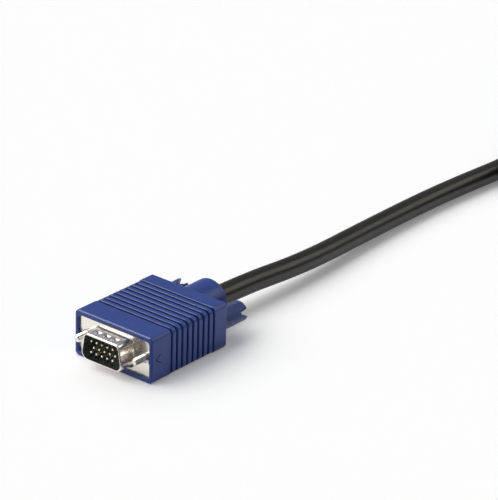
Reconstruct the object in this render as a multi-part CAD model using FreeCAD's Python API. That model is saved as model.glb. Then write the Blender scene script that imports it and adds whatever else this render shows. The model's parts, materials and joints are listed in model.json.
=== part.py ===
import FreeCAD
import Part
import math
import os

# All sizes are in millimetres. A plug is drawn with the front plane of its hood at y = 0, the
# contacts towards -Y, the cable towards +Y and its flat underside at z = 0, and is then moved
# into place. The near plug's box stands on the origin.

# Contacts
PINS_PER_ROW = 5
ROWS = 3
PIN_PITCH = 2.29
ROW_PITCH = 1.98
PIN_RADIUS = 0.38
PIN_TIP_LENGTH = 0.3
PIN_TIP_RADIUS = 0.18
PIN_TIP_DEPTH = 0.75
TAIL_REACH = 4.0

# Pressed shells
SHEET = 0.5
SHELL_SIDE_ROOM = 4.0
SHELL_END_ROOM = 2.77
SHELL_LOW_CORNER = 2.7
SHELL_HIGH_CORNER = 1.75
SHELL_DRAFT = math.radians(10.0)
SHELL_REACH = 6.6
SHELL_DRAW_RADIUS = 1.0
SHELL_RIM_ROUNDING = 0.4
SKIRT_LENGTH = 4.0
FLANGE_LIP = 1.75
FLANGE_END = 2.9
FLANGE_CORNER = 1.2
DENTS = 3
DENT_SPACING = 3.7
DENT_SIZE = 2.0
DENT_FLOOR = 1.3
DENT_DEPTH = 0.35
DENT_PLACE = 3.7

# Insulator
INSULATOR_STEP = 0.7

# Jackscrews and knobs
SCREW_SIDE_ROOM = 3.34
THREAD_RADIUS = 1.42
THREAD_REACH = 4.8
THREAD_POINT = 0.6
SHANK_RADIUS = 1.6
SPIGOT_RADIUS = 1.3
SPIGOT_LENGTH = 7.0
KNOB_RADIUS = 3.55
KNOB_LENGTH = 11.0
KNOB_GAP = 0.3
KNOB_FLUTES = 32
FLUTE_DEPTH = 0.32
FLUTE_SHARE = 0.6
SLOT_FLOOR_WIDTH = 1.7
SLOT_MOUTH_WIDTH = 2.7
SLOT_DEPTH = 3.0
LEFT_SLOT_TURN = -76.0
RIGHT_SLOT_TURN = -8.0

# Hood
FLANGE_RECESS = 1.0
RIM_SIDE = 1.2
RIM_TOP = 1.65
HOOD_BEVEL = 1.0
FRONT_EDGE = 0.4
BACK_EDGE = 0.4
FRONT_PLAIN = 9.25
REAR_PLAIN = 6.2
GROOVES = 9
GROOVE_PITCH = 2.59
GROOVE_WIDTH = 0.85
GROOVE_DEPTH = 1.1
RIB_CORNER = 2.0
KEY_DEPTH = 0.3
KEY_HEIGHT = 2.4
BOOT_STEP = 0.65
BOOT_LENGTH = 11.5
BOOT_EDGE = 0.4

# Inside the hood
MOULD_SIDE_WALL = 1.15
MOULD_TOP_WALL = 1.5
MOULD_CORNER = 2.0
MOULD_BACK_WALL = 7.0
FERRULE_LENGTH = 4.0
FERRULE_WALL = 0.6
BUNDLE_ROOM = 1.2
BUNDLE_CORNER = 1.5
CORE_RADIUS = 2.7

# Clearances: pieces that are put together, and the turning shanks
FIT = 0.05
RUNNING_FIT = 0.05
SCREW_HOLE_ROOM = 0.15

# Cable, laid on the floor, and the hank of the length that is put away
CABLE_RADIUS = 3.7
FLOOR_GAP = 0.05
EXIT_STRAIGHT = 12.0
FOLD_RADIUS = 23.0
HANK_CENTRE_X = 23.5
HANK_NEAR_Y = 190.0
HANK_STRAIGHT = 70.0
HANK_LAYERS = 2
FAR_BOOT_Y = 256.0
TAIL_STRAIGHT = 15.0
TIE_THICKNESS = 0.7
TIE_WIDTH = 8.0
TIE_PLACE = 17.0

# Sizes that follow
PIN_FIELD_WIDTH = (PINS_PER_ROW - 1) * PIN_PITCH + PIN_PITCH / 2
PIN_FIELD_HEIGHT = (ROWS - 1) * ROW_PITCH
SHELL_WIDTH = PIN_FIELD_WIDTH + 2 * SHELL_SIDE_ROOM
SHELL_HEIGHT = PIN_FIELD_HEIGHT + 2 * SHELL_END_ROOM
SCREW_SPACING = SHELL_WIDTH + 2 * SCREW_SIDE_ROOM
FLANGE_WIDTH = SCREW_SPACING + 2 * FLANGE_END
FLANGE_HEIGHT = SHELL_HEIGHT + 2 * FLANGE_LIP
HOOD_WIDTH = FLANGE_WIDTH + 2 * (FIT + RIM_SIDE)
HOOD_HEIGHT = FLANGE_HEIGHT + 2 * (FIT + RIM_TOP)
GROOVED_LENGTH = (GROOVES - 1) * GROOVE_PITCH + GROOVE_WIDTH
HOOD_LENGTH = FRONT_PLAIN + GROOVED_LENGTH + REAR_PLAIN
AXIS_Z = HOOD_HEIGHT / 2
SCREW_BORE_RADIUS = SHANK_RADIUS + RUNNING_FIT
FLANGE_HOLE_RADIUS = SHANK_RADIUS + SCREW_HOLE_ROOM
BOOT_RADIUS = AXIS_Z - BOOT_STEP
BOOT_END = HOOD_LENGTH + BOOT_LENGTH
KNOB_FRONT = HOOD_LENGTH + KNOB_GAP
KNOB_END = KNOB_FRONT + KNOB_LENGTH

# Places along the plug
SHELL_RIM = FLANGE_RECESS - SHELL_REACH
FLANGE_BACK = FLANGE_RECESS + SHEET
POCKET_FLOOR = FLANGE_BACK + SHEET
SKIRT_END = POCKET_FLOOR + SKIRT_LENGTH
INSULATOR_FACE = FLANGE_RECESS - INSULATOR_STEP
PIN_END = SKIRT_END + TAIL_REACH
MOULD_END = HOOD_LENGTH - MOULD_BACK_WALL
JACKET_START = MOULD_END - FERRULE_LENGTH
MOULD_WIDTH = SCREW_SPACING - 2 * (SCREW_BORE_RADIUS + MOULD_SIDE_WALL)
MOULD_HEIGHT = HOOD_HEIGHT - 2 * (GROOVE_DEPTH + MOULD_TOP_WALL)
BUNDLE_WIDTH = PIN_FIELD_WIDTH + 2 * (PIN_RADIUS + BUNDLE_ROOM)
BUNDLE_HEIGHT = PIN_FIELD_HEIGHT + 2 * (PIN_RADIUS + BUNDLE_ROOM)

# Places of the two plugs and of the hank
NEAR_Y = -(SHELL_RIM + max(BOOT_END, KNOB_END)) / 2
CABLE = 2 * CABLE_RADIUS
FLOOR_Z = CABLE_RADIUS + FLOOR_GAP
HANK_BOTTOM = TIE_THICKNESS + FLOOR_GAP
HANK_TOP = HANK_BOTTOM + HANK_LAYERS * CABLE
OUTER_TURN = FOLD_RADIUS + CABLE
HANK_INSIDE = FOLD_RADIUS - CABLE_RADIUS
HANK_OUTSIDE = OUTER_TURN + CABLE_RADIUS
NEAR_FOLD_Y = HANK_NEAR_Y + HANK_OUTSIDE
FAR_FOLD_Y = NEAR_FOLD_Y + HANK_STRAIGHT
FAR_X = HANK_CENTRE_X - FOLD_RADIUS
FAR_Z = HANK_TOP

TINY = 1e-4


def vector(x, y, z):
    return FreeCAD.Vector(x, y, z)


# Profiles across the plug


def rounded_wire(corners, radii, y):
    """Closed outline at y through (x, z) corners about the plug's axis, each with its own rounding."""
    points = [vector(x, y, AXIS_Z + z) for x, z in corners]
    starts, middles, ends = [], [], []
    for index, (corner, radius) in enumerate(zip(points, radii)):
        before = (points[index - 1] - corner).normalize()
        after = (points[(index + 1) % len(points)] - corner).normalize()
        half_angle = before.getAngle(after) / 2
        along = radius / math.tan(half_angle)
        bisector = (before + after).normalize()
        starts.append(corner + before * along)
        middles.append(corner + bisector * (radius / math.sin(half_angle) - radius))
        ends.append(corner + after * along)
    edges = []
    for index in range(len(points)):
        edges.append(Part.LineSegment(ends[index - 1], starts[index]).toShape())
        edges.append(Part.Arc(starts[index], middles[index], ends[index]).toShape())
    return Part.Wire(edges)


def rectangle_wire(width, height, corner, y):
    half_width = width / 2
    half_height = height / 2
    corners = [(-half_width, -half_height), (half_width, -half_height),
               (half_width, half_height), (-half_width, half_height)]
    return rounded_wire(corners, [corner] * 4, y)


def bevelled_wire(width, height, bevel, y):
    """Rectangle with its corners cut off at 45 degrees."""
    x = width / 2
    z = height / 2
    corners = [(bevel - x, -z), (x - bevel, -z), (x, bevel - z), (x, z - bevel),
               (x - bevel, z), (bevel - x, z), (-x, z - bevel), (-x, bevel - z)]
    points = [vector(across, y, AXIS_Z + up) for across, up in corners]
    return Part.makePolygon(points + points[:1])


def shell_wire(inset, y):
    """The D outline, wide side down, moved inwards by the inset."""
    slope = math.tan(SHELL_DRAFT)
    half_height = SHELL_HEIGHT / 2 - inset
    half_middle = SHELL_WIDTH / 2 - SHELL_HEIGHT / 2 * slope - inset / math.cos(SHELL_DRAFT)
    half_low = half_middle + half_height * slope
    half_high = half_middle - half_height * slope
    corners = [(-half_low, -half_height), (half_low, -half_height),
               (half_high, half_height), (-half_high, half_height)]
    radii = [SHELL_LOW_CORNER, SHELL_LOW_CORNER, SHELL_HIGH_CORNER, SHELL_HIGH_CORNER]
    return rounded_wire(corners, [radius - inset for radius in radii], y)


def extruded(wire, y_end):
    length = y_end - wire.BoundBox.YMin
    return Part.Face(wire).extrude(vector(0, length, 0))


def bar(width, height, corner, y_start, y_end):
    return extruded(rectangle_wire(width, height, corner, y_start), y_end)


def bevelled_bar(width, height, bevel, y_start, y_end):
    return extruded(bevelled_wire(width, height, bevel, y_start), y_end)


def shell_bar(inset, y_start, y_end):
    return extruded(shell_wire(inset, y_start), y_end)


def rod(radius, y_start, y_end, x=0.0, z=AXIS_Z):
    return Part.makeCylinder(radius, y_end - y_start, vector(x, y_start, z), vector(0, 1, 0))


def turned(profile, x, z=AXIS_Z):
    """Body of revolution about a line along Y through x and z, from its (radius, y) outline."""
    points = [vector(x + radius, y, z) for radius, y in profile]
    face = Part.Face(Part.makePolygon(points + points[:1]))
    return face.revolve(vector(x, 0, z), vector(0, 1, 0), 360)


def edges_at(solid, y):
    return [edge for edge in solid.Edges
            if abs(edge.BoundBox.YMin - y) < TINY and abs(edge.BoundBox.YMax - y) < TINY]


# Contacts and insulator


def pin_places():
    """(x, z) of each contact, the middle row half a pitch to the side of the other two."""
    places = []
    for row in range(ROWS):
        shift = PIN_PITCH / 4 if row % 2 else -PIN_PITCH / 4
        for column in range(PINS_PER_ROW):
            x = (column - (PINS_PER_ROW - 1) / 2) * PIN_PITCH + shift
            z = AXIS_Z + (row - (ROWS - 1) / 2) * ROW_PITCH
            places.append((x, z))
    return places


def make_pin(x, z):
    """Round contact with a pointed tip, long enough to be soldered behind the insulator."""
    tip = SHELL_RIM + PIN_TIP_DEPTH
    profile = [(0, tip), (PIN_TIP_RADIUS, tip), (PIN_RADIUS, tip + PIN_TIP_LENGTH), (PIN_RADIUS, PIN_END),
               (0, PIN_END)]
    return turned(profile, x, z)


def make_pins():
    return Part.makeCompound([make_pin(x, z) for x, z in pin_places()])


def make_insulator():
    nose = shell_bar(SHEET + FIT, INSULATOR_FACE, FLANGE_BACK)
    collar = shell_bar(0.0, FLANGE_BACK, SKIRT_END)
    holes = [rod(PIN_RADIUS + FIT, INSULATOR_FACE, SKIRT_END, x, z) for x, z in pin_places()]
    return nose.fuse(collar).removeSplitter().cut(Part.makeCompound(holes))


# Pressed shells


def screw_places():
    return [-SCREW_SPACING / 2, SCREW_SPACING / 2]


def keys(room, y_start, y_end):
    """The two ridges in the hood's pocket, which stand in the notches of the flange's short ends."""
    blocks = []
    for side in (-1, 1):
        outer = FLANGE_WIDTH / 2 + FIT + TINY
        inner = FLANGE_WIDTH / 2 - KEY_DEPTH - room
        height = KEY_HEIGHT + 2 * room
        middle = side * (outer + inner) / 2
        corner = vector(middle - (outer - inner) / 2, y_start, AXIS_Z - height / 2)
        blocks.append(Part.makeBox(outer - inner, y_end - y_start, height, corner))
    return Part.makeCompound(blocks)


def flange_plate(y_start, y_end):
    plate = bar(FLANGE_WIDTH, FLANGE_HEIGHT, FLANGE_CORNER, y_start, y_end)
    plate = plate.cut(keys(FIT, y_start, y_end))
    holes = [rod(FLANGE_HOLE_RADIUS, y_start, y_end, x) for x in screw_places()]
    return plate.cut(Part.makeCompound(holes))


def dent_wedges(room):
    """The pressed dents in the shell's narrow side, grown by the room for the sheet inside them."""
    half_mouth = DENT_SIZE / 2 + room
    half_floor = DENT_FLOOR / 2 + room
    floor = SHELL_HEIGHT / 2 - DENT_DEPTH - room
    wedges = []
    for index in range(DENTS):
        x = (index - (DENTS - 1) / 2) * DENT_SPACING
        y = FLANGE_RECESS - DENT_PLACE
        outlines = []
        for half, rise in ((half_mouth, SHELL_HEIGHT / 2), (half_floor, floor)):
            corners = [(-half, -half), (half, -half), (half, half), (-half, half), (-half, -half)]
            outlines.append(Part.makePolygon([vector(x + dx, y + dy, AXIS_Z + rise) for dx, dy in corners]))
        wedges.append(Part.makeLoft(outlines, True, True))
    return Part.makeCompound(wedges)


def make_face_shell():
    outside = shell_bar(0.0, SHELL_RIM, FLANGE_RECESS + SHEET / 2)
    shell = flange_plate(FLANGE_RECESS, FLANGE_BACK).fuse(outside).removeSplitter()
    base = [edge for edge in edges_at(shell, FLANGE_RECESS)
            if abs(edge.BoundBox.Center.x) < SHELL_WIDTH / 2 + TINY
            and edge.BoundBox.ZMax < AXIS_Z + SHELL_HEIGHT / 2 + TINY
            and edge.BoundBox.ZMin > AXIS_Z - SHELL_HEIGHT / 2 - TINY]
    shell = shell.makeFillet(SHELL_DRAW_RADIUS, base)
    shell = shell.makeFillet(SHELL_RIM_ROUNDING, edges_at(shell, SHELL_RIM))
    shell = shell.cut(shell_bar(SHEET, SHELL_RIM, FLANGE_BACK))
    return shell.fuse(dent_wedges(SHEET)).cut(dent_wedges(0.0)).removeSplitter()


def make_back_shell():
    skirt = shell_bar(-FIT - SHEET, FLANGE_BACK, SKIRT_END)
    shell = flange_plate(FLANGE_BACK, POCKET_FLOOR).fuse(skirt).removeSplitter()
    return shell.cut(shell_bar(-FIT, FLANGE_BACK, SKIRT_END))


# Jackscrews and knobs


def make_screw(x):
    tip = FLANGE_RECESS - THREAD_REACH
    spigot_end = KNOB_FRONT + SPIGOT_LENGTH
    profile = [(0, tip), (THREAD_RADIUS - THREAD_POINT, tip), (THREAD_RADIUS, tip + THREAD_POINT),
               (THREAD_RADIUS, FLANGE_RECESS), (SHANK_RADIUS, FLANGE_RECESS), (SHANK_RADIUS, KNOB_FRONT),
               (SPIGOT_RADIUS, KNOB_FRONT), (SPIGOT_RADIUS, spigot_end), (0, spigot_end)]
    return turned(profile, x)


def flute_wire(x):
    """Star-like outline of the knob: flat lands with a V flute between each two."""
    step = 2 * math.pi / KNOB_FLUTES
    points = []
    for index in range(KNOB_FLUTES):
        for share, radius in ((0.0, KNOB_RADIUS - FLUTE_DEPTH), (FLUTE_SHARE / 2, KNOB_RADIUS),
                              (1 - FLUTE_SHARE / 2, KNOB_RADIUS)):
            angle = (index + share) * step
            points.append(vector(x + radius * math.cos(angle), KNOB_FRONT, AXIS_Z + radius * math.sin(angle)))
    return Part.makePolygon(points + points[:1])


def make_knob(x, slot_turn):
    """Fluted knob with a driver slot that opens out towards its end."""
    knob = extruded(flute_wire(x), KNOB_END)
    floor = KNOB_END - SLOT_DEPTH
    side = x - 2 * KNOB_RADIUS
    corners = [(floor, -SLOT_FLOOR_WIDTH / 2), (floor, SLOT_FLOOR_WIDTH / 2),
               (KNOB_END, SLOT_MOUTH_WIDTH / 2), (KNOB_END, -SLOT_MOUTH_WIDTH / 2)]
    outline = [vector(side, y, AXIS_Z + z) for y, z in corners]
    slot = Part.Face(Part.makePolygon(outline + outline[:1])).extrude(vector(4 * KNOB_RADIUS, 0, 0))
    slot.rotate(vector(x, 0, AXIS_Z), vector(0, 1, 0), slot_turn)
    bore = rod(SPIGOT_RADIUS + FIT, KNOB_FRONT, KNOB_FRONT + SPIGOT_LENGTH + FIT, x)
    return knob.cut(slot).cut(bore)


# Hood and what it covers


def make_plain_front():
    block = bevelled_bar(HOOD_WIDTH, HOOD_HEIGHT, HOOD_BEVEL, 0, FRONT_PLAIN)
    return block.makeChamfer(FRONT_EDGE, edges_at(block, 0))


def make_plain_rear():
    start = HOOD_LENGTH - REAR_PLAIN
    block = bevelled_bar(HOOD_WIDTH, HOOD_HEIGHT, HOOD_BEVEL, start, HOOD_LENGTH)
    return block.makeChamfer(BACK_EDGE, edges_at(block, HOOD_LENGTH))


def make_rib(index):
    start = FRONT_PLAIN + index * GROOVE_PITCH + GROOVE_WIDTH
    end = start + GROOVE_PITCH - GROOVE_WIDTH
    return bar(HOOD_WIDTH, HOOD_HEIGHT, RIB_CORNER, start, end)


def make_boot():
    boot = rod(BOOT_RADIUS, HOOD_LENGTH, BOOT_END)
    return boot.makeChamfer(BOOT_EDGE, edges_at(boot, BOOT_END))


def hood_outside():
    core = bevelled_bar(HOOD_WIDTH - 2 * GROOVE_DEPTH, HOOD_HEIGHT - 2 * GROOVE_DEPTH, HOOD_BEVEL,
                        FRONT_PLAIN, HOOD_LENGTH - REAR_PLAIN)
    ribs = [make_rib(index) for index in range(GROOVES - 1)]
    return make_plain_front().multiFuse([core, make_plain_rear(), make_boot()] + ribs).removeSplitter()


def hood_inside():
    """Everything that the hood is moulded round, with its clearance."""
    pocket = bar(FLANGE_WIDTH + 2 * FIT, FLANGE_HEIGHT + 2 * FIT, FLANGE_CORNER + FIT, 0, POCKET_FLOOR)
    pocket = pocket.cut(keys(0.0, 0, POCKET_FLOOR))
    hollows = [pocket,
               shell_bar(-2 * FIT - SHEET, POCKET_FLOOR, SKIRT_END),
               bar(MOULD_WIDTH + 2 * FIT, MOULD_HEIGHT + 2 * FIT, MOULD_CORNER, SKIRT_END, MOULD_END),
               rod(CABLE_RADIUS + FIT, MOULD_END, BOOT_END)]
    bores = [rod(SCREW_BORE_RADIUS, POCKET_FLOOR, HOOD_LENGTH, x) for x in screw_places()]
    return hollows + bores


def make_hood():
    hood = hood_outside()
    for hollow in hood_inside():
        hood = hood.cut(hollow)
    return hood


def bundle_shape(room, y_start):
    """The wires from the soldered pins, drawn together to the cable's core."""
    front = rectangle_wire(BUNDLE_WIDTH + 2 * room, BUNDLE_HEIGHT + 2 * room, BUNDLE_CORNER, y_start)
    core = 2 * (CORE_RADIUS + room)
    back = rectangle_wire(core, core, core * 0.45, JACKET_START)
    return Part.makeLoft([front, back], True)


def make_inner_mould():
    mould = bar(MOULD_WIDTH, MOULD_HEIGHT, MOULD_CORNER, SKIRT_END, MOULD_END)
    bay = bar(BUNDLE_WIDTH + 2 * FIT, BUNDLE_HEIGHT + 2 * FIT, BUNDLE_CORNER, SKIRT_END, PIN_END)
    ferrule_seat = rod(CABLE_RADIUS + FERRULE_WALL + 2 * FIT, JACKET_START, MOULD_END)
    return mould.cut(bay).cut(bundle_shape(FIT, PIN_END)).cut(ferrule_seat)


def make_ferrule():
    outside = rod(CABLE_RADIUS + FIT + FERRULE_WALL, JACKET_START, MOULD_END)
    return outside.cut(rod(CABLE_RADIUS + FIT, JACKET_START, MOULD_END))


def plug_pieces():
    left_x, right_x = screw_places()
    return {
        "hood": make_hood(),
        "inner_mould": make_inner_mould(),
        "face_shell": make_face_shell(),
        "back_shell": make_back_shell(),
        "insulator": make_insulator(),
        "pins": make_pins(),
        "wire_bundle": bundle_shape(0.0, PIN_END),
        "braid_ferrule": make_ferrule(),
        "left_screw": make_screw(left_x),
        "right_screw": make_screw(right_x),
        "left_knob": make_knob(left_x, LEFT_SLOT_TURN),
        "right_knob": make_knob(right_x, RIGHT_SLOT_TURN),
    }


# Cable


def run_route():
    """From the near ferrule, along the floor as the photograph shows it, to the hank."""
    return [
        vector(0, NEAR_Y + JACKET_START, AXIS_Z),
        vector(0, NEAR_Y + BOOT_END + EXIT_STRAIGHT, AXIS_Z),
        vector(1.6, 73.8, 6.0),
        vector(-1.6, 111.8, 4.3),
        vector(-2.7, 148.8, FLOOR_Z),
        vector(-1.6, 172.0, FLOOR_Z),
        vector(0.2, 192.0, FLOOR_Z),
        vector(-7.0, 216.0, HANK_BOTTOM + CABLE_RADIUS),
        vector(HANK_CENTRE_X - OUTER_TURN, 240.0, HANK_BOTTOM + CABLE_RADIUS),
    ]


def tail_route():
    """From the top of the hank's near fold up into the far plug, which lies on the hank."""
    boot_end = vector(FAR_X, FAR_BOOT_Y, FAR_Z + AXIS_Z)
    return [
        vector(FAR_X, NEAR_FOLD_Y, HANK_TOP + CABLE_RADIUS),
        boot_end - vector(0, TAIL_STRAIGHT, 0),
        boot_end + vector(0, BOOT_END - JACKET_START, 0),
    ]


def make_tube(name, route):
    """Round cable along straight runs that are joined by tangent arcs as large as the runs allow."""
    edges = []
    last = route[0]
    length = 0.0
    for index in range(1, len(route) - 1):
        before = route[index - 1] - route[index]
        after = route[index + 1] - route[index]
        reach = 0.45 * min(before.Length, after.Length)
        half_angle = before.getAngle(after) / 2
        radius = reach * math.tan(half_angle)
        before.normalize()
        after.normalize()
        start = route[index] + before * reach
        end = route[index] + after * reach
        bisector = (before + after).normalize()
        middle = route[index] + bisector * (radius / math.sin(half_angle) - radius)
        edges.append(Part.LineSegment(last, start).toShape())
        edges.append(Part.Arc(start, middle, end).toShape())
        print(name, "bend", index, "radius", round(radius, 1))
        last = end
    edges.append(Part.LineSegment(last, route[-1]).toShape())
    path = Part.Wire(edges)
    section = Part.makeCircle(CABLE_RADIUS, route[0], route[1] - route[0])
    tube = path.makePipeShell([Part.Wire(section)], True, False)
    expected = math.pi * CABLE_RADIUS ** 2 * path.Length
    print(name, "length", round(path.Length, 1), "volume ratio", round(tube.Volume / expected, 4))
    return tube


def oval_wire(reach, z):
    """Outline of the hank seen from above: two straight sides and two half rounds."""
    left = HANK_CENTRE_X - reach
    right = HANK_CENTRE_X + reach
    edges = [
        Part.LineSegment(vector(left, NEAR_FOLD_Y, z), vector(left, FAR_FOLD_Y, z)).toShape(),
        Part.Arc(vector(left, FAR_FOLD_Y, z), vector(HANK_CENTRE_X, FAR_FOLD_Y + reach, z),
                 vector(right, FAR_FOLD_Y, z)).toShape(),
        Part.LineSegment(vector(right, FAR_FOLD_Y, z), vector(right, NEAR_FOLD_Y, z)).toShape(),
        Part.Arc(vector(right, NEAR_FOLD_Y, z), vector(HANK_CENTRE_X, NEAR_FOLD_Y - reach, z),
                 vector(left, NEAR_FOLD_Y, z)).toShape(),
    ]
    return Part.Wire(edges)


def oval_ring(inside, outside, bottom, top):
    height = vector(0, 0, top - bottom)
    outer = Part.Face(oval_wire(outside, bottom)).extrude(height)
    return outer.cut(Part.Face(oval_wire(inside, bottom)).extrude(height))


def make_hank():
    """Outer shape of the turns, with the last half turn lying on top of the right side and near fold."""
    turns = oval_ring(HANK_INSIDE, HANK_OUTSIDE, HANK_BOTTOM, HANK_TOP)
    last = oval_ring(HANK_INSIDE, FOLD_RADIUS + CABLE_RADIUS, HANK_TOP, HANK_TOP + CABLE)
    length = FAR_FOLD_Y + HANK_OUTSIDE - NEAR_FOLD_Y
    left_side = Part.makeBox(HANK_OUTSIDE, length, CABLE,
                             vector(HANK_CENTRE_X - HANK_OUTSIDE, NEAR_FOLD_Y, HANK_TOP))
    far_fold = Part.makeBox(2 * HANK_OUTSIDE, HANK_OUTSIDE, CABLE,
                            vector(HANK_CENTRE_X - HANK_OUTSIDE, FAR_FOLD_Y, HANK_TOP))
    return turns.fuse(last.cut(left_side).cut(far_fold)).removeSplitter()


def make_tie(side, height):
    """Strap round one side of the hank."""
    y = NEAR_FOLD_Y + TIE_PLACE
    width = HANK_OUTSIDE - HANK_INSIDE
    left = HANK_CENTRE_X + side * (HANK_OUTSIDE + HANK_INSIDE) / 2 - width / 2
    grow = FIT + TIE_THICKNESS
    outside = Part.makeBox(width + 2 * grow, TIE_WIDTH, height + 2 * TIE_THICKNESS + FIT,
                           vector(left - grow, y, HANK_BOTTOM - TIE_THICKNESS))
    inside = Part.makeBox(width + 2 * FIT, TIE_WIDTH, height + FIT, vector(left - FIT, y, HANK_BOTTOM))
    return outside.cut(inside)


def cord_pieces():
    return {
        "cord_run": make_tube("cord_run", run_route()),
        "cord_hank": make_hank(),
        "cord_tail": make_tube("cord_tail", tail_route()),
        "left_tie": make_tie(-1, HANK_TOP - HANK_BOTTOM),
        "right_tie": make_tie(1, HANK_TOP + CABLE - HANK_BOTTOM),
    }


def export(name, shape):
    if not shape.isValid():
        raise ValueError(name + " is not a valid solid")
    shape.exportStep(os.path.join("parts", name + ".step"))


def main():
    os.makedirs("parts", exist_ok=True)
    upright = vector(0, 0, 1)
    near = FreeCAD.Placement(vector(0, NEAR_Y, 0), FreeCAD.Rotation(upright, 0))
    far = FreeCAD.Placement(vector(FAR_X, FAR_BOOT_Y + BOOT_END, FAR_Z), FreeCAD.Rotation(upright, 180))
    for name, shape in plug_pieces().items():
        export("near_" + name, shape.transformed(near.toMatrix()))
        export("far_" + name, shape.transformed(far.toMatrix()))
    for name, shape in cord_pieces().items():
        export(name, shape)


main()
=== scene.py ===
"""Looks of the cable: two dressed plugs, the laid cord with its hank, studio light and the camera.

Lengths are in metres.
"""
import json
import math

import bmesh
import bpy
from mathutils import Matrix, Vector
from mathutils.geometry import convex_hull_2d


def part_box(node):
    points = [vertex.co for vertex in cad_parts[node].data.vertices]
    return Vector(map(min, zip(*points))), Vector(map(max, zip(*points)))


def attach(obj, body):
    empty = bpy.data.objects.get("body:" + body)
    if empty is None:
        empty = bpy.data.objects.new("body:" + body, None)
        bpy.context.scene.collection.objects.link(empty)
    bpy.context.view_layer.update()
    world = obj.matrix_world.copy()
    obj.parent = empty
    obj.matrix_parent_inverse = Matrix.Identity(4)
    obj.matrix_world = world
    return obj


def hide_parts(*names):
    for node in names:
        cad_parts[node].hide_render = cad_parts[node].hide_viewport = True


# Camera, found from the standard spacing of the pins and the jackscrews
CAMERA_AZIMUTH = math.radians(39.378)
CAMERA_ELEVATION = math.radians(24.724)
CAMERA_ROLL = math.radians(1.5)
CAMERA_DISTANCE = 0.99393
CAMERA_AIM_X = 0.0554
CAMERA_AIM_Z = 0.05986
FOCAL_PIXELS = 3266.2
PHOTO_LONG_SIDE = 500
SENSOR_WIDTH = 36.0

# Light on the part: a soft lamp over the left side, a low weak one in front, and a grey room that is
# darker low down. The floor has two wider lamps of its own, and is seen as white. Two panels, one above
# on the left and one behind on the right, and a dark card in front on the right show in reflections
# only. The metal shells see the left panel weaker than the plastic does.
KEY_FROM = (-0.5, 0.12, 0.86)
KEY_STRENGTH = 2.3
KEY_ANGLE = math.radians(40)
FILL_FROM = (-0.5, -0.85, 0.15)
FILL_STRENGTH = 0.6
FILL_ANGLE = math.radians(50)
LEFT_PANEL_FROM = (-0.55, -0.45, 0.7)
LEFT_PANEL_STRENGTH = 2.9
SHELL_PANEL_STRENGTH = 0.55
LEFT_PANEL_ANGLE = math.radians(45)
BACK_PANEL_FROM = (0.43, 0.7, 0.57)
BACK_PANEL_STRENGTH = 0.5
BACK_PANEL_ANGLE = math.radians(35)
BACK_PANEL_COLOUR = (1.0, 0.95, 0.86)
SHADOW_FROM = (-0.46, -0.47, 0.75)
SHADOW_STRENGTH = 1.85
FRONT_SHADOW_FROM = (-0.56, 0.34, 0.75)
FRONT_SHADOW_STRENGTH = 0.75
SHADOW_ANGLE = math.radians(55)
ROOM_LOW = 0.08
ROOM_HIGH = 0.305

# Floor and card
FLOOR_COLOUR = (0.94, 0.94, 0.94)
FLOOR_LIFT = 0.185
FLOOR_HALF = 4.0
CARD_COLOUR = (0.03, 0.025, 0.02)
CARD_NEAR = 0.008
CARD_LENGTH = 0.12
CARD_WIDTH = 0.12
CARD_HEIGHT = 0.0003
CARD_TURN = math.radians(45)
STAGE_ROUGHNESS = 0.9

# Cable: the route's points, then the turns of the hank, worked out from the hank's solid
CABLE_RADIUS = 0.0037
CABLE_ROUNDNESS = 6
CURVE_ORDER = 3
CURVE_STEPS = 10
RUN_ROUTE = [
    (0.0, 0.00456, 0.0082),
    (0.0, 0.03906, 0.0082),
    (0.0016, 0.0738, 0.006),
    (-0.0016, 0.1118, 0.0043),
    (-0.0027, 0.1488, 0.00375),
    (-0.0016, 0.172, 0.00375),
    (0.0005, 0.198, 0.00375),
    (-0.0072, 0.217, 0.00445),
    (-0.0069, 0.24, 0.00445),
]
TAIL_ROUTE = [
    (0.0005, 0.2241, 0.01925),
    (0.0005, 0.241, 0.02375),
    (0.0005, 0.2785, 0.02375),
]
RUN_POINTS = 3
FOLD_POINTS = 6
HALF_TURN = RUN_POINTS + FOLD_POINTS
INNER = 0
OUTER = 1
# Each turn of the hank: the column and the layer that it lies in, before and after a change
# between two of its stations
TURNS = [
    {"column": (OUTER, INNER, 12, 15), "layer": (0, 0, 0, 1)},
    {"column": (INNER, INNER, 0, 1), "layer": (0, 1, 10, 12)},
    {"column": (INNER, OUTER, 9, 10), "layer": (1, 1, 0, 1)},
    {"column": (OUTER, INNER, 9, 11), "layer": (1, 2, 5, 8)},
]

# Straps round the hank; the lap's lift is in thicknesses of the strap
STRAP_THICKNESS = 0.0007
STRAP_GAP = 0.00003
STRAP_OVERLAP = 0.018
STRAP_RAMP = 0.005
STRAP_LAP_LIFT = 1.1
STRAP_STEP = 0.0005
STRAP_EDGE = 0.00015
STRAP_EDGE_ANGLE = math.radians(60)
STRAP_EDGE_SEGMENTS = 2

# Plug details
MOULD_EDGE = 0.00023
KNOB_EDGE = 0.00005
PIN_EDGE = 0.00012
EDGE_SEGMENTS = 3
THREAD_PITCH = 0.000635
THREAD_DEPTH = 0.0003
THREAD_RADIUS = 0.00142
THREAD_LENGTH = 0.0048
THREAD_POINT = 0.0006
SPIGOT_RADIUS = 0.0013
SPIGOT_LENGTH = 0.007
SHOULDER_LENGTH = 0.00001
THREAD_SIDES = 32
ROWS_PER_PITCH = 6
SIDES = ("left", "right")
# Arrow mark on the hood's right side: distance from the front, and height, of its point and two ends
ARROW_POINT = (0.0021, 0.0083)
ARROW_ENDS = [(0.0043, 0.0098), (0.0045, 0.0066)]
ARROW_WIDTH = 0.0004
ARROW_DEPTH = 0.0003

# Mending and shading of meshes
MERGE_DISTANCE = 0.000001
FLAT_ANGLE = math.radians(1)
ROUNDED_ANGLE = math.radians(30)
SHARP_ANGLE = math.radians(40)

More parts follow.
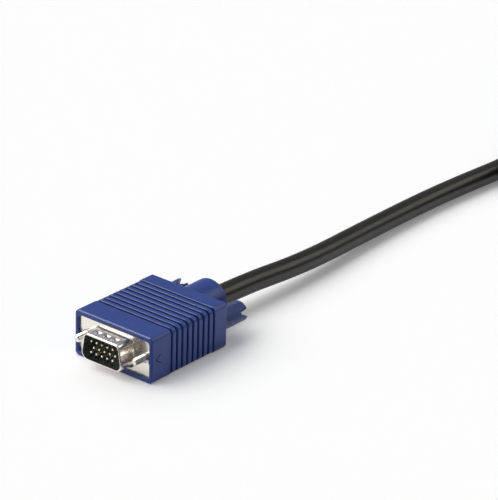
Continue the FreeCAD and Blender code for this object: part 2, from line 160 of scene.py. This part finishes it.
# Nearly all of a noise lies between these two values
NOISE_LOW = 0.3
NOISE_HIGH = 0.7

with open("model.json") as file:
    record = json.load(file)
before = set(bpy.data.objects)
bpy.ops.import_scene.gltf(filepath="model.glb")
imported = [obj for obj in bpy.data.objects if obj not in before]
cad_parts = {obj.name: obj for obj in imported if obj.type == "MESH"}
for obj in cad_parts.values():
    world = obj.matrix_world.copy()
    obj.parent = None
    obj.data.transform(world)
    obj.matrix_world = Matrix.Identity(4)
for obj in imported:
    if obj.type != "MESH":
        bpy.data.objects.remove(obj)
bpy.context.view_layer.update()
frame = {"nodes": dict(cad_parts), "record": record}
nodes = frame["nodes"]


# Materials


def shader_input(material, name):
    return material.node_tree.nodes["Principled BSDF"].inputs[name]


def new_material(name, colour=None, roughness=None, metallic=0.0):
    """Material with the values that are the same all over it; noise gives the rest."""
    material = bpy.data.materials.new(name)
    material.use_nodes = True
    shader_input(material, "Metallic").default_value = metallic
    if colour:
        shader_input(material, "Base Color").default_value = (*colour, 1.0)
    if roughness:
        shader_input(material, "Roughness").default_value = roughness
    return material


def add_noise(material, scale, detail=3.0, stretch=(1.0, 1.0, 1.0)):
    """Noise in the part's own coordinates; scale is in bumps per metre."""
    tree = material.node_tree
    place = tree.nodes.new("ShaderNodeTexCoord")
    mapping = tree.nodes.new("ShaderNodeMapping")
    mapping.inputs["Scale"].default_value = stretch
    noise = tree.nodes.new("ShaderNodeTexNoise")
    noise.inputs["Scale"].default_value = scale
    noise.inputs["Detail"].default_value = detail
    tree.links.new(place.outputs["Object"], mapping.inputs["Vector"])
    tree.links.new(mapping.outputs["Vector"], noise.inputs["Vector"])
    return noise.outputs["Fac"]


def vary_colour(material, source, dark, light):
    tree = material.node_tree
    ramp = tree.nodes.new("ShaderNodeValToRGB")
    ramp.color_ramp.elements[0].position = NOISE_LOW
    ramp.color_ramp.elements[0].color = (*dark, 1.0)
    ramp.color_ramp.elements[1].position = NOISE_HIGH
    ramp.color_ramp.elements[1].color = (*light, 1.0)
    tree.links.new(source, ramp.inputs["Fac"])
    tree.links.new(ramp.outputs["Color"], shader_input(material, "Base Color"))


def vary_roughness(material, source, low, high):
    tree = material.node_tree
    spread = tree.nodes.new("ShaderNodeMapRange")
    spread.inputs["From Min"].default_value = NOISE_LOW
    spread.inputs["From Max"].default_value = NOISE_HIGH
    spread.inputs["To Min"].default_value = low
    spread.inputs["To Max"].default_value = high
    tree.links.new(source, spread.inputs["Value"])
    tree.links.new(spread.outputs["Result"], shader_input(material, "Roughness"))


def add_bump(material, source, height, strength):
    tree = material.node_tree
    bump = tree.nodes.new("ShaderNodeBump")
    bump.inputs["Distance"].default_value = height
    bump.inputs["Strength"].default_value = strength
    tree.links.new(source, bump.inputs["Height"])
    tree.links.new(bump.outputs["Normal"], shader_input(material, "Normal"))


def hood_blue():
    material = new_material("hood_blue")
    vary_colour(material, add_noise(material, scale=180.0),
                dark=(0.023, 0.056, 0.255), light=(0.027, 0.064, 0.29))
    vary_roughness(material, add_noise(material, scale=420.0), low=0.31, high=0.37)
    add_bump(material, add_noise(material, scale=5500.0), height=0.00003, strength=0.4)
    shader_input(material, "Specular IOR Level").default_value = 0.38
    return material


def knob_blue():
    material = new_material("knob_blue")
    # Lighter and greyer than the hood's blue: painted light that makes up for the shade the hood casts on
    # the knobs
    vary_colour(material, add_noise(material, scale=400.0),
                dark=(0.055, 0.089, 0.264), light=(0.067, 0.105, 0.306))
    vary_roughness(material, add_noise(material, scale=900.0), low=0.31, high=0.4)
    add_bump(material, add_noise(material, scale=6000.0), height=0.00003, strength=0.4)
    return material


def plated_nickel():
    material = new_material("plated_nickel", metallic=1.0)
    vary_colour(material, add_noise(material, scale=200.0),
                dark=(0.87, 0.82, 0.74), light=(0.89, 0.84, 0.76))
    vary_roughness(material, add_noise(material, scale=300.0), low=0.22, high=0.28)
    add_bump(material, add_noise(material, scale=5000.0), height=0.000002, strength=0.3)
    return material


def gold_flash():
    material = new_material("gold_flash", colour=(0.98, 0.88, 0.66), metallic=1.0)
    vary_roughness(material, add_noise(material, scale=1500.0), low=0.18, high=0.32)
    return material


def insulator_black():
    material = new_material("insulator_black", colour=(0.013, 0.035, 0.055))
    vary_roughness(material, add_noise(material, scale=800.0), low=0.38, high=0.52)
    add_bump(material, add_noise(material, scale=4000.0), height=0.00002, strength=0.4)
    shader_input(material, "Specular IOR Level").default_value = 0.25
    return material


def screw_steel():
    material = new_material("screw_steel", colour=(0.8, 0.78, 0.73), metallic=1.0)
    vary_roughness(material, add_noise(material, scale=1200.0), low=0.18, high=0.34)
    return material


def jacket_black():
    material = new_material("jacket_black")
    vary_colour(material, add_noise(material, scale=60.0),
                dark=(0.007, 0.0065, 0.006), light=(0.011, 0.0105, 0.0095))
    vary_roughness(material, add_noise(material, scale=250.0), low=0.3, high=0.37)
    add_bump(material, add_noise(material, scale=90.0, detail=2.0), height=0.0004, strength=0.35)
    return material


def inner_white():
    material = new_material("inner_white", colour=(0.72, 0.71, 0.67), roughness=0.55)
    add_bump(material, add_noise(material, scale=1500.0), height=0.00004, strength=0.5)
    return material


def wire_colours():
    material = new_material("wire_colours", roughness=0.5)
    lengthwise = add_noise(material, scale=700.0, detail=1.0, stretch=(1.0, 0.05, 1.0))
    vary_colour(material, lengthwise, dark=(0.45, 0.08, 0.06), light=(0.10, 0.25, 0.45))
    return material


def bare_copper():
    material = new_material("bare_copper", colour=(0.72, 0.38, 0.22), metallic=1.0)
    vary_roughness(material, add_noise(material, scale=1500.0), low=0.28, high=0.45)
    return material


def tie_fabric():
    material = new_material("tie_fabric", roughness=0.9)
    vary_colour(material, add_noise(material, scale=2500.0),
                dark=(0.012, 0.012, 0.013), light=(0.03, 0.03, 0.032))
    add_bump(material, add_noise(material, scale=2200.0, detail=4.0), height=0.0003, strength=0.9)
    shader_input(material, "Sheen Weight").default_value = 0.3
    return material


def pale_floor():
    """Floor that is lifted to white where it is looked at or reflected, and still takes the shadows."""
    material = new_material("pale_floor", FLOOR_COLOUR, STAGE_ROUGHNESS)
    shader_input(material, "Specular IOR Level").default_value = 0.0
    shader_input(material, "Emission Color").default_value = (1.0, 1.0, 1.0, 1.0)
    tree = material.node_tree
    path = tree.nodes.new("ShaderNodeLightPath")
    seen = path.outputs["Is Camera Ray"]
    for ray in ("Is Glossy Ray", "Is Transmission Ray"):
        either = tree.nodes.new("ShaderNodeMath")
        either.operation = "MAXIMUM"
        tree.links.new(seen, either.inputs[0])
        tree.links.new(path.outputs[ray], either.inputs[1])
        seen = either.outputs[0]
    lift = tree.nodes.new("ShaderNodeMath")
    lift.operation = "MULTIPLY"
    lift.inputs[1].default_value = FLOOR_LIFT
    tree.links.new(seen, lift.inputs[0])
    tree.links.new(lift.outputs[0], shader_input(material, "Emission Strength"))
    return material


def make_materials():
    """The material of each slot in the record."""
    return {
        "hood_blue": hood_blue(),
        "knob_blue": knob_blue(),
        "inner_white": inner_white(),
        "nickel": plated_nickel(),
        "insulator_black": insulator_black(),
        "pin_gold": gold_flash(),
        "wires": wire_colours(),
        "copper": bare_copper(),
        "screw_steel": screw_steel(),
        "jacket_black": jacket_black(),
        "tie_black": tie_fabric(),
    }


materials = make_materials()


def paint(thing, slot):
    thing.data.materials.clear()
    thing.data.materials.append(materials[slot])


def paint_frame():
    for subpart in frame["record"]["subparts"]:
        paint(nodes[subpart["node"]], subpart["material_slot"])


# Objects and meshes


def add_object(name, data):
    thing = bpy.data.objects.new(name, data)
    bpy.context.scene.collection.objects.link(thing)
    return thing


def add_piece(name, data, slot, body, *replaced):
    piece = add_object(name, data)
    paint(piece, slot)
    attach(piece, body)
    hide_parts(*replaced)
    return piece


def finished_mesh(name, work):
    mesh = bpy.data.meshes.new(name)
    work.to_mesh(mesh)
    work.free()
    return mesh


def ringed_mesh(name, rings):
    """Closed mesh over rings of points, one after the other, with flat ends."""
    work = bmesh.new()
    loops = [[work.verts.new(point) for point in ring] for ring in rings]
    for before, after in zip(loops, loops[1:]):
        for side in range(len(before)):
            following = (side + 1) % len(before)
            work.faces.new((before[side], after[side], after[following], before[following]))
    work.faces.new(loops[0])
    work.faces.new(reversed(loops[-1]))
    bmesh.ops.recalc_face_normals(work, faces=work.faces)
    mesh = finished_mesh(name, work)
    mesh.shade_smooth()
    mesh.set_sharp_from_angle(angle=SHARP_ANGLE)
    return mesh


def round_edges(piece, width, segments, method):
    rounding = piece.modifiers.new("edge", "BEVEL")
    rounding.width = width
    rounding.segments = segments
    rounding.limit_method = method
    return rounding


# Plugs


def joined_copy(node):
    """Copy of a node's mesh with its flat faces whole again and its outer edges marked for rounding."""
    mesh = nodes[node].data.copy()
    mesh.name = node + "_soft"
    work = bmesh.new()
    work.from_mesh(mesh)
    bmesh.ops.remove_doubles(work, verts=work.verts, dist=MERGE_DISTANCE)
    bmesh.ops.dissolve_limit(work, angle_limit=FLAT_ANGLE, verts=work.verts, edges=work.edges)
    rounding = work.edges.layers.float.new("bevel_weight_edge")
    for edge in work.edges:
        if edge.is_convex and edge.calc_face_angle(0.0) > ROUNDED_ANGLE:
            edge[rounding] = 1.0
    work.to_mesh(mesh)
    work.free()
    if "custom_normal" in mesh.attributes:
        mesh.attributes.remove(mesh.attributes["custom_normal"])
    mesh.shade_smooth()
    mesh.set_sharp_from_angle(angle=ROUNDED_ANGLE)
    return mesh


def softened(node, slot, body, edge_width):
    """Copy of a solid with its outer edges rounded."""
    piece = add_piece(node + "_soft", joined_copy(node), slot, body, node)
    rounding = round_edges(piece, edge_width, EDGE_SEGMENTS, "WEIGHT")
    rounding.use_clamp_overlap = False
    rounding.harden_normals = True
    return piece


def arrow_cutters(end, forward):
    """Two wedges that cut the arms of the arrow into the plug's right side."""
    low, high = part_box(end + "_hood")
    front = low.y if forward < 0 else high.y
    face = high.x if forward < 0 else low.x
    outward = -forward
    cutters = []
    for arm in ARROW_ENDS:
        first = Vector(ARROW_POINT)
        last = Vector(arm)
        across = (last - first).orthogonal().normalized() * ARROW_WIDTH
        work = bmesh.new()
        for place in (first, last):
            for share, rise in ((1, ARROW_DEPTH), (-1, ARROW_DEPTH), (0, -ARROW_DEPTH)):
                along, height = place + across * share
                work.verts.new((face + outward * rise, front - forward * along, low.z + height))
        bmesh.ops.convex_hull(work, input=work.verts)
        cutters.append(add_object("arrow_cutter", finished_mesh("arrow_cutter", work)))
    return cutters


def engrave(piece, cutters):
    """Cuts the wedges out of the piece's finished mesh and removes them."""
    for cutter in cutters:
        cut = piece.modifiers.new("engraving", "BOOLEAN")
        cut.operation = "DIFFERENCE"
        cut.solver = "EXACT"
        cut.object = cutter
    shading = piece.modifiers.new("shading", "WEIGHTED_NORMAL")
    shading.keep_sharp = True
    ready = piece.evaluated_get(bpy.context.evaluated_depsgraph_get())
    mesh = bpy.data.meshes.new_from_object(ready)
    piece.modifiers.clear()
    piece.data = mesh
    for cutter in cutters:
        bpy.data.objects.remove(cutter)


def screw_radius(along, shank_end, turn, shank_radius):
    """Radius of a jackscrew at a distance from its tip and at a share of a turn round it."""
    if along > shank_end:
        return SPIGOT_RADIUS
    if along > THREAD_LENGTH:
        return shank_radius
    phase = (along / THREAD_PITCH + turn) % 1.0
    crest = THREAD_RADIUS - THREAD_DEPTH * abs(2.0 * phase - 1.0)
    return min(crest, THREAD_RADIUS - THREAD_POINT + along)


def threaded_screw(node, body, forward):
    """Jackscrew with a real helical thread; forward is the way along Y that its tip points."""
    low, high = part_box(node)
    middle = (low + high) / 2
    length = high.y - low.y
    shank_radius = (high.x - low.x) / 2
    shank_end = length - SPIGOT_LENGTH
    step = THREAD_PITCH / ROWS_PER_PITCH
    places = [index * step for index in range(int(THREAD_LENGTH / step))]
    places += [THREAD_LENGTH, THREAD_LENGTH + SHOULDER_LENGTH]
    places += [shank_end, shank_end + SHOULDER_LENGTH, length]
    rings = []
    for along in places:
        y = middle.y + forward * (length / 2 - along)
        ring = []
        for side in range(THREAD_SIDES):
            turn = side / THREAD_SIDES
            radius = screw_radius(along, shank_end, turn, shank_radius)
            angle = 2 * math.pi * turn
            ring.append((middle.x + radius * math.cos(angle), y,
                         middle.z + forward * radius * math.sin(angle)))
        rings.append(ring)
    mesh = ringed_mesh(node + "_threaded", rings)
    return add_piece(node + "_threaded", mesh, "screw_steel", body, node)


def dress_plug(end, forward):
    """The rounded, engraved and threaded pieces of one plug."""
    hood = softened(end + "_hood", "hood_blue", "cable", MOULD_EDGE)
    engrave(hood, arrow_cutters(end, forward))
    pins = softened(end + "_pins", "pin_gold", "cable", PIN_EDGE)
    pieces = [hood, pins]
    for side in SIDES:
        stem = end + "_" + side
        body = stem + "_thumbscrew"
        pieces.append(softened(stem + "_knob", "knob_blue", body, KNOB_EDGE))
        pieces.append(threaded_screw(stem + "_screw", body, forward))
    return pieces


# Cable


def value_at(change, station):
    """A value that goes evenly from one number to another between two stations."""
    before, after, first, last = change
    share = min(max((station - first) / (last - first), 0.0), 1.0)
    return before + (after - before) * share


def hank_point(turn, station):
    """Point of a turn: up the left run, round the far fold, down the right run, round the near one."""
    low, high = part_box("cord_hank")
    reach = (high.x - low.x) / 2
    near_y = low.y + reach
    far_y = high.y - reach
    radius = reach - CABLE_RADIUS - 2 * CABLE_RADIUS * (OUTER - value_at(turn["column"], station))
    tangent = radius * math.tan(math.pi / (2 * FOLD_POINTS))
    half, step = divmod(station, HALF_TURN)
    if step < RUN_POINTS:
        x = -radius
        y = near_y + tangent + (far_y - near_y - 2 * tangent) * step / (RUN_POINTS - 1)
    else:
        angle = math.pi * (step - RUN_POINTS + 0.5) / FOLD_POINTS
        corner = radius / math.cos(math.pi / (2 * FOLD_POINTS))
        x = -corner * math.cos(angle)
        y = far_y + corner * math.sin(angle)
    if half:
        x = -x
        y = near_y + far_y - y
    z = low.z + CABLE_RADIUS * (1 + 2 * value_at(turn["layer"], station))
    return Vector(((low.x + high.x) / 2 + x, y, z))


def hank_points():
    """Points of all the turns but the very first, because the run's route ends a little past that one."""
    points = [hank_point(turn, station) for turn in TURNS for station in range(2 * HALF_TURN)]
    return points[1:]


def lay_cable():
    points = RUN_ROUTE + hank_points() + TAIL_ROUTE
    curve = bpy.data.curves.new("cable_jacket", "CURVE")
    curve.dimensions = "3D"
    curve.bevel_depth = CABLE_RADIUS
    curve.bevel_resolution = CABLE_ROUNDNESS
    curve.use_fill_caps = True
    spline = curve.splines.new("NURBS")
    spline.points.add(len(points) - 1)
    for control, point in zip(spline.points, points):
        control.co = (*point, 1.0)
    spline.order_u = CURVE_ORDER
    spline.use_endpoint_u = True
    spline.resolution_u = CURVE_STEPS
    return add_piece("cable_jacket", curve, "jacket_black", "cable", "cord_run", "cord_hank", "cord_tail")


# Straps


def turn_centres(node, first_station):
    """Where the turns pass through a strap, as (x, z), on the run that starts at the station."""
    low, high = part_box(node)
    middle = (low.y + high.y) / 2
    centres = []
    for turn in TURNS:
        start = hank_point(turn, first_station)
        end = hank_point(turn, first_station + RUN_POINTS - 1)
        share = (middle - start.y) / (end.y - start.y)
        point = hank_point(turn, first_station + share * (RUN_POINTS - 1))
        centres.append(Vector((point.x, point.z)))
    return centres


def tight_outline(centres, radius):
    """Closed line pulled tight round circles about the centres, from the top, in even short steps."""
    hull = [centres[index] for index in convex_hull_2d(centres)]
    top = hull.index(max(hull, key=lambda centre: centre.y))
    hull = hull[top:] + hull[:top]
    corners = []
    for before, here, after in zip(hull[-1:] + hull[:-1], hull, hull[1:] + hull[:1]):
        arriving = here - before
        leaving = after - here
        first = math.atan2(-arriving.x, arriving.y)
        sweep = (math.atan2(-leaving.x, leaving.y) - first) % (2 * math.pi)
        steps = max(1, round(radius * sweep / STRAP_STEP))
        for step in range(steps + 1):
            angle = first + sweep * step / steps
            corners.append(here + radius * Vector((math.cos(angle), math.sin(angle))))
    outline = []
    for start, end in zip(corners, corners[1:] + corners[:1]):
        steps = max(1, round((end - start).length / STRAP_STEP))
        outline += [start.lerp(end, step / steps) for step in range(steps)]
    return outline


def make_strap(node, first_station):
    """Fabric strap round one side of the hank, its rounded end lapped over its start."""
    low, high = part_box(node)
    middle = (low.y + high.y) / 2
    half_width = (high.y - low.y) / 2
    outline = tight_outline(turn_centres(node, first_station), CABLE_RADIUS + STRAP_GAP)
    once_round = len(outline)
    stations = once_round + round(STRAP_OVERLAP / STRAP_STEP)
    rise_start = once_round - round(STRAP_RAMP / STRAP_STEP)
    rings = []
    for station in range(stations):
        here = outline[station % once_round]
        along = outline[(station + 1) % once_round] - outline[(station - 1) % once_round]
        outward = Vector((along.y, -along.x)).normalized()
        lift = STRAP_THICKNESS * value_at((0, STRAP_LAP_LIFT, rise_start, once_round), station)
        left = min((stations - 1 - station) * STRAP_STEP, half_width)
        half = max(math.sqrt(half_width ** 2 - (half_width - left) ** 2), STRAP_STEP)
        ring = []
        for y, depth in ((-half, 0.0), (half, 0.0), (half, STRAP_THICKNESS), (-half, STRAP_THICKNESS)):
            place = here + outward * (lift + depth)
            ring.append((place.x, middle + y, place.y))
        rings.append(ring)
    piece = add_piece(node + "_strap", ringed_mesh(node + "_strap", rings), "tie_black", "cable", node)
    rounding = round_edges(piece, STRAP_EDGE, STRAP_EDGE_SEGMENTS, "ANGLE")
    rounding.angle_limit = STRAP_EDGE_ANGLE
    return piece


# Stage


def add_sheet(name, corners, material):
    mesh = bpy.data.meshes.new(name)
    mesh.from_pydata(corners, [], [(0, 1, 2, 3)])
    mesh.materials.append(material)
    return add_object(name, mesh)


def add_floor():
    corners = [(-FLOOR_HALF, -FLOOR_HALF, 0), (FLOOR_HALF, -FLOOR_HALF, 0),
               (FLOOR_HALF, FLOOR_HALF, 0), (-FLOOR_HALF, FLOOR_HALF, 0)]
    floor = add_sheet("floor", corners, pale_floor())
    return floor


def show_in_reflections_only(thing):
    thing.visible_camera = False
    thing.visible_diffuse = False
    thing.visible_shadow = False


def add_card():
    """Dark card on the floor, in front of the near plug on the right, that only reflections show."""
    half = CARD_WIDTH / 2
    far = CARD_NEAR + CARD_LENGTH
    corners = [(-half, -CARD_NEAR, 0), (-half, -far, 0), (half, -far, 0), (half, -CARD_NEAR, 0)]
    card = add_sheet("dark_card", corners, new_material("dark_card", CARD_COLOUR, STAGE_ROUGHNESS))
    low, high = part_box("near_right_screw")
    card.location = ((low.x + high.x) / 2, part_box("near_hood")[0].y, CARD_HEIGHT)
    card.rotation_euler.z = CARD_TURN
    show_in_reflections_only(card)


def add_lamp(name, place, strength, angle):
    """Sun lamp that shines from the place's direction; a wider angle gives softer shadows."""
    data = bpy.data.lights.new(name, "SUN")
    data.energy = strength
    data.angle = angle
    lamp = add_object(name, data)
    lamp.location = place
    lamp.rotation_euler = Vector(place).to_track_quat("Z", "Y").to_euler()
    return lamp


def link_light(lamp, things, state):
    """Lets the lamp reach these things alone, or everything but them."""
    group = bpy.data.collections.new(lamp.name + "_things")
    for index, thing in enumerate(things):
        group.objects.link(thing)
        group.collection_objects[index].light_linking.link_state = state
    lamp.light_linking.receiver_collection = group


def add_lamps(floor):
    key = add_lamp("key_lamp", KEY_FROM, KEY_STRENGTH, KEY_ANGLE)
    fill = add_lamp("fill_lamp", FILL_FROM, FILL_STRENGTH, FILL_ANGLE)
    for lamp in (key, fill):
        link_light(lamp, [floor], "EXCLUDE")
    shadow = add_lamp("shadow_lamp", SHADOW_FROM, SHADOW_STRENGTH, SHADOW_ANGLE)
    front_shadow = add_lamp("front_shadow_lamp", FRONT_SHADOW_FROM, FRONT_SHADOW_STRENGTH, SHADOW_ANGLE)
    for lamp in (shadow, front_shadow):
        link_light(lamp, [floor], "INCLUDE")
    shells = [nodes["near_face_shell"], nodes["far_face_shell"]]
    left_panel = add_lamp("left_panel", LEFT_PANEL_FROM, LEFT_PANEL_STRENGTH, LEFT_PANEL_ANGLE)
    link_light(left_panel, shells, "EXCLUDE")
    shell_panel = add_lamp("shell_panel", LEFT_PANEL_FROM, SHELL_PANEL_STRENGTH, LEFT_PANEL_ANGLE)
    link_light(shell_panel, shells, "INCLUDE")
    back_panel = add_lamp("back_panel", BACK_PANEL_FROM, BACK_PANEL_STRENGTH, BACK_PANEL_ANGLE)
    back_panel.data.color = BACK_PANEL_COLOUR
    for panel in (left_panel, shell_panel, back_panel):
        show_in_reflections_only(panel)


def add_room():
    """Grey light from all round, stronger from higher up."""
    world = bpy.data.worlds.new("room")
    world.use_nodes = True
    tree = world.node_tree
    background = tree.nodes["Background"]
    background.inputs["Color"].default_value = (1.0, 1.0, 1.0, 1.0)
    direction = tree.nodes.new("ShaderNodeTexCoord")
    height = tree.nodes.new("ShaderNodeSeparateXYZ")
    grey = tree.nodes.new("ShaderNodeMapRange")
    grey.inputs["To Min"].default_value = ROOM_LOW
    grey.inputs["To Max"].default_value = ROOM_HIGH
    tree.links.new(direction.outputs["Generated"], height.inputs["Vector"])
    tree.links.new(height.outputs["Z"], grey.inputs["Value"])
    tree.links.new(grey.outputs["Result"], background.inputs["Strength"])
    bpy.context.scene.world = world


def add_camera():
    back = Vector((math.sin(CAMERA_AZIMUTH) * math.cos(CAMERA_ELEVATION),
                   -math.cos(CAMERA_AZIMUTH) * math.cos(CAMERA_ELEVATION),
                   math.sin(CAMERA_ELEVATION)))
    right = Vector((math.cos(CAMERA_AZIMUTH), math.sin(CAMERA_AZIMUTH), 0.0))
    up = back.cross(right)
    rolled_right = right * math.cos(CAMERA_ROLL) + up * math.sin(CAMERA_ROLL)
    rolled_up = up * math.cos(CAMERA_ROLL) - right * math.sin(CAMERA_ROLL)
    turn = Matrix((rolled_right, rolled_up, back)).transposed().to_4x4()
    aim = Vector((CAMERA_AIM_X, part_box("near_hood")[0].y, CAMERA_AIM_Z))
    data = bpy.data.cameras.new("camera")
    data.sensor_width = SENSOR_WIDTH
    data.lens = SENSOR_WIDTH * FOCAL_PIXELS / PHOTO_LONG_SIDE
    camera = add_object("camera", data)
    camera.matrix_world = Matrix.Translation(aim + back * CAMERA_DISTANCE) @ turn
    bpy.context.scene.camera = camera


paint_frame()
dress_plug("near", -1)
far_pieces = dress_plug("far", 1)
cable = lay_cable()
straps = [make_strap("left_tie", 0), make_strap("right_tie", HALF_TURN)]
add_lamps(add_floor())
add_room()
add_card()
add_camera()
bpy.context.scene.view_settings.view_transform = "Standard"
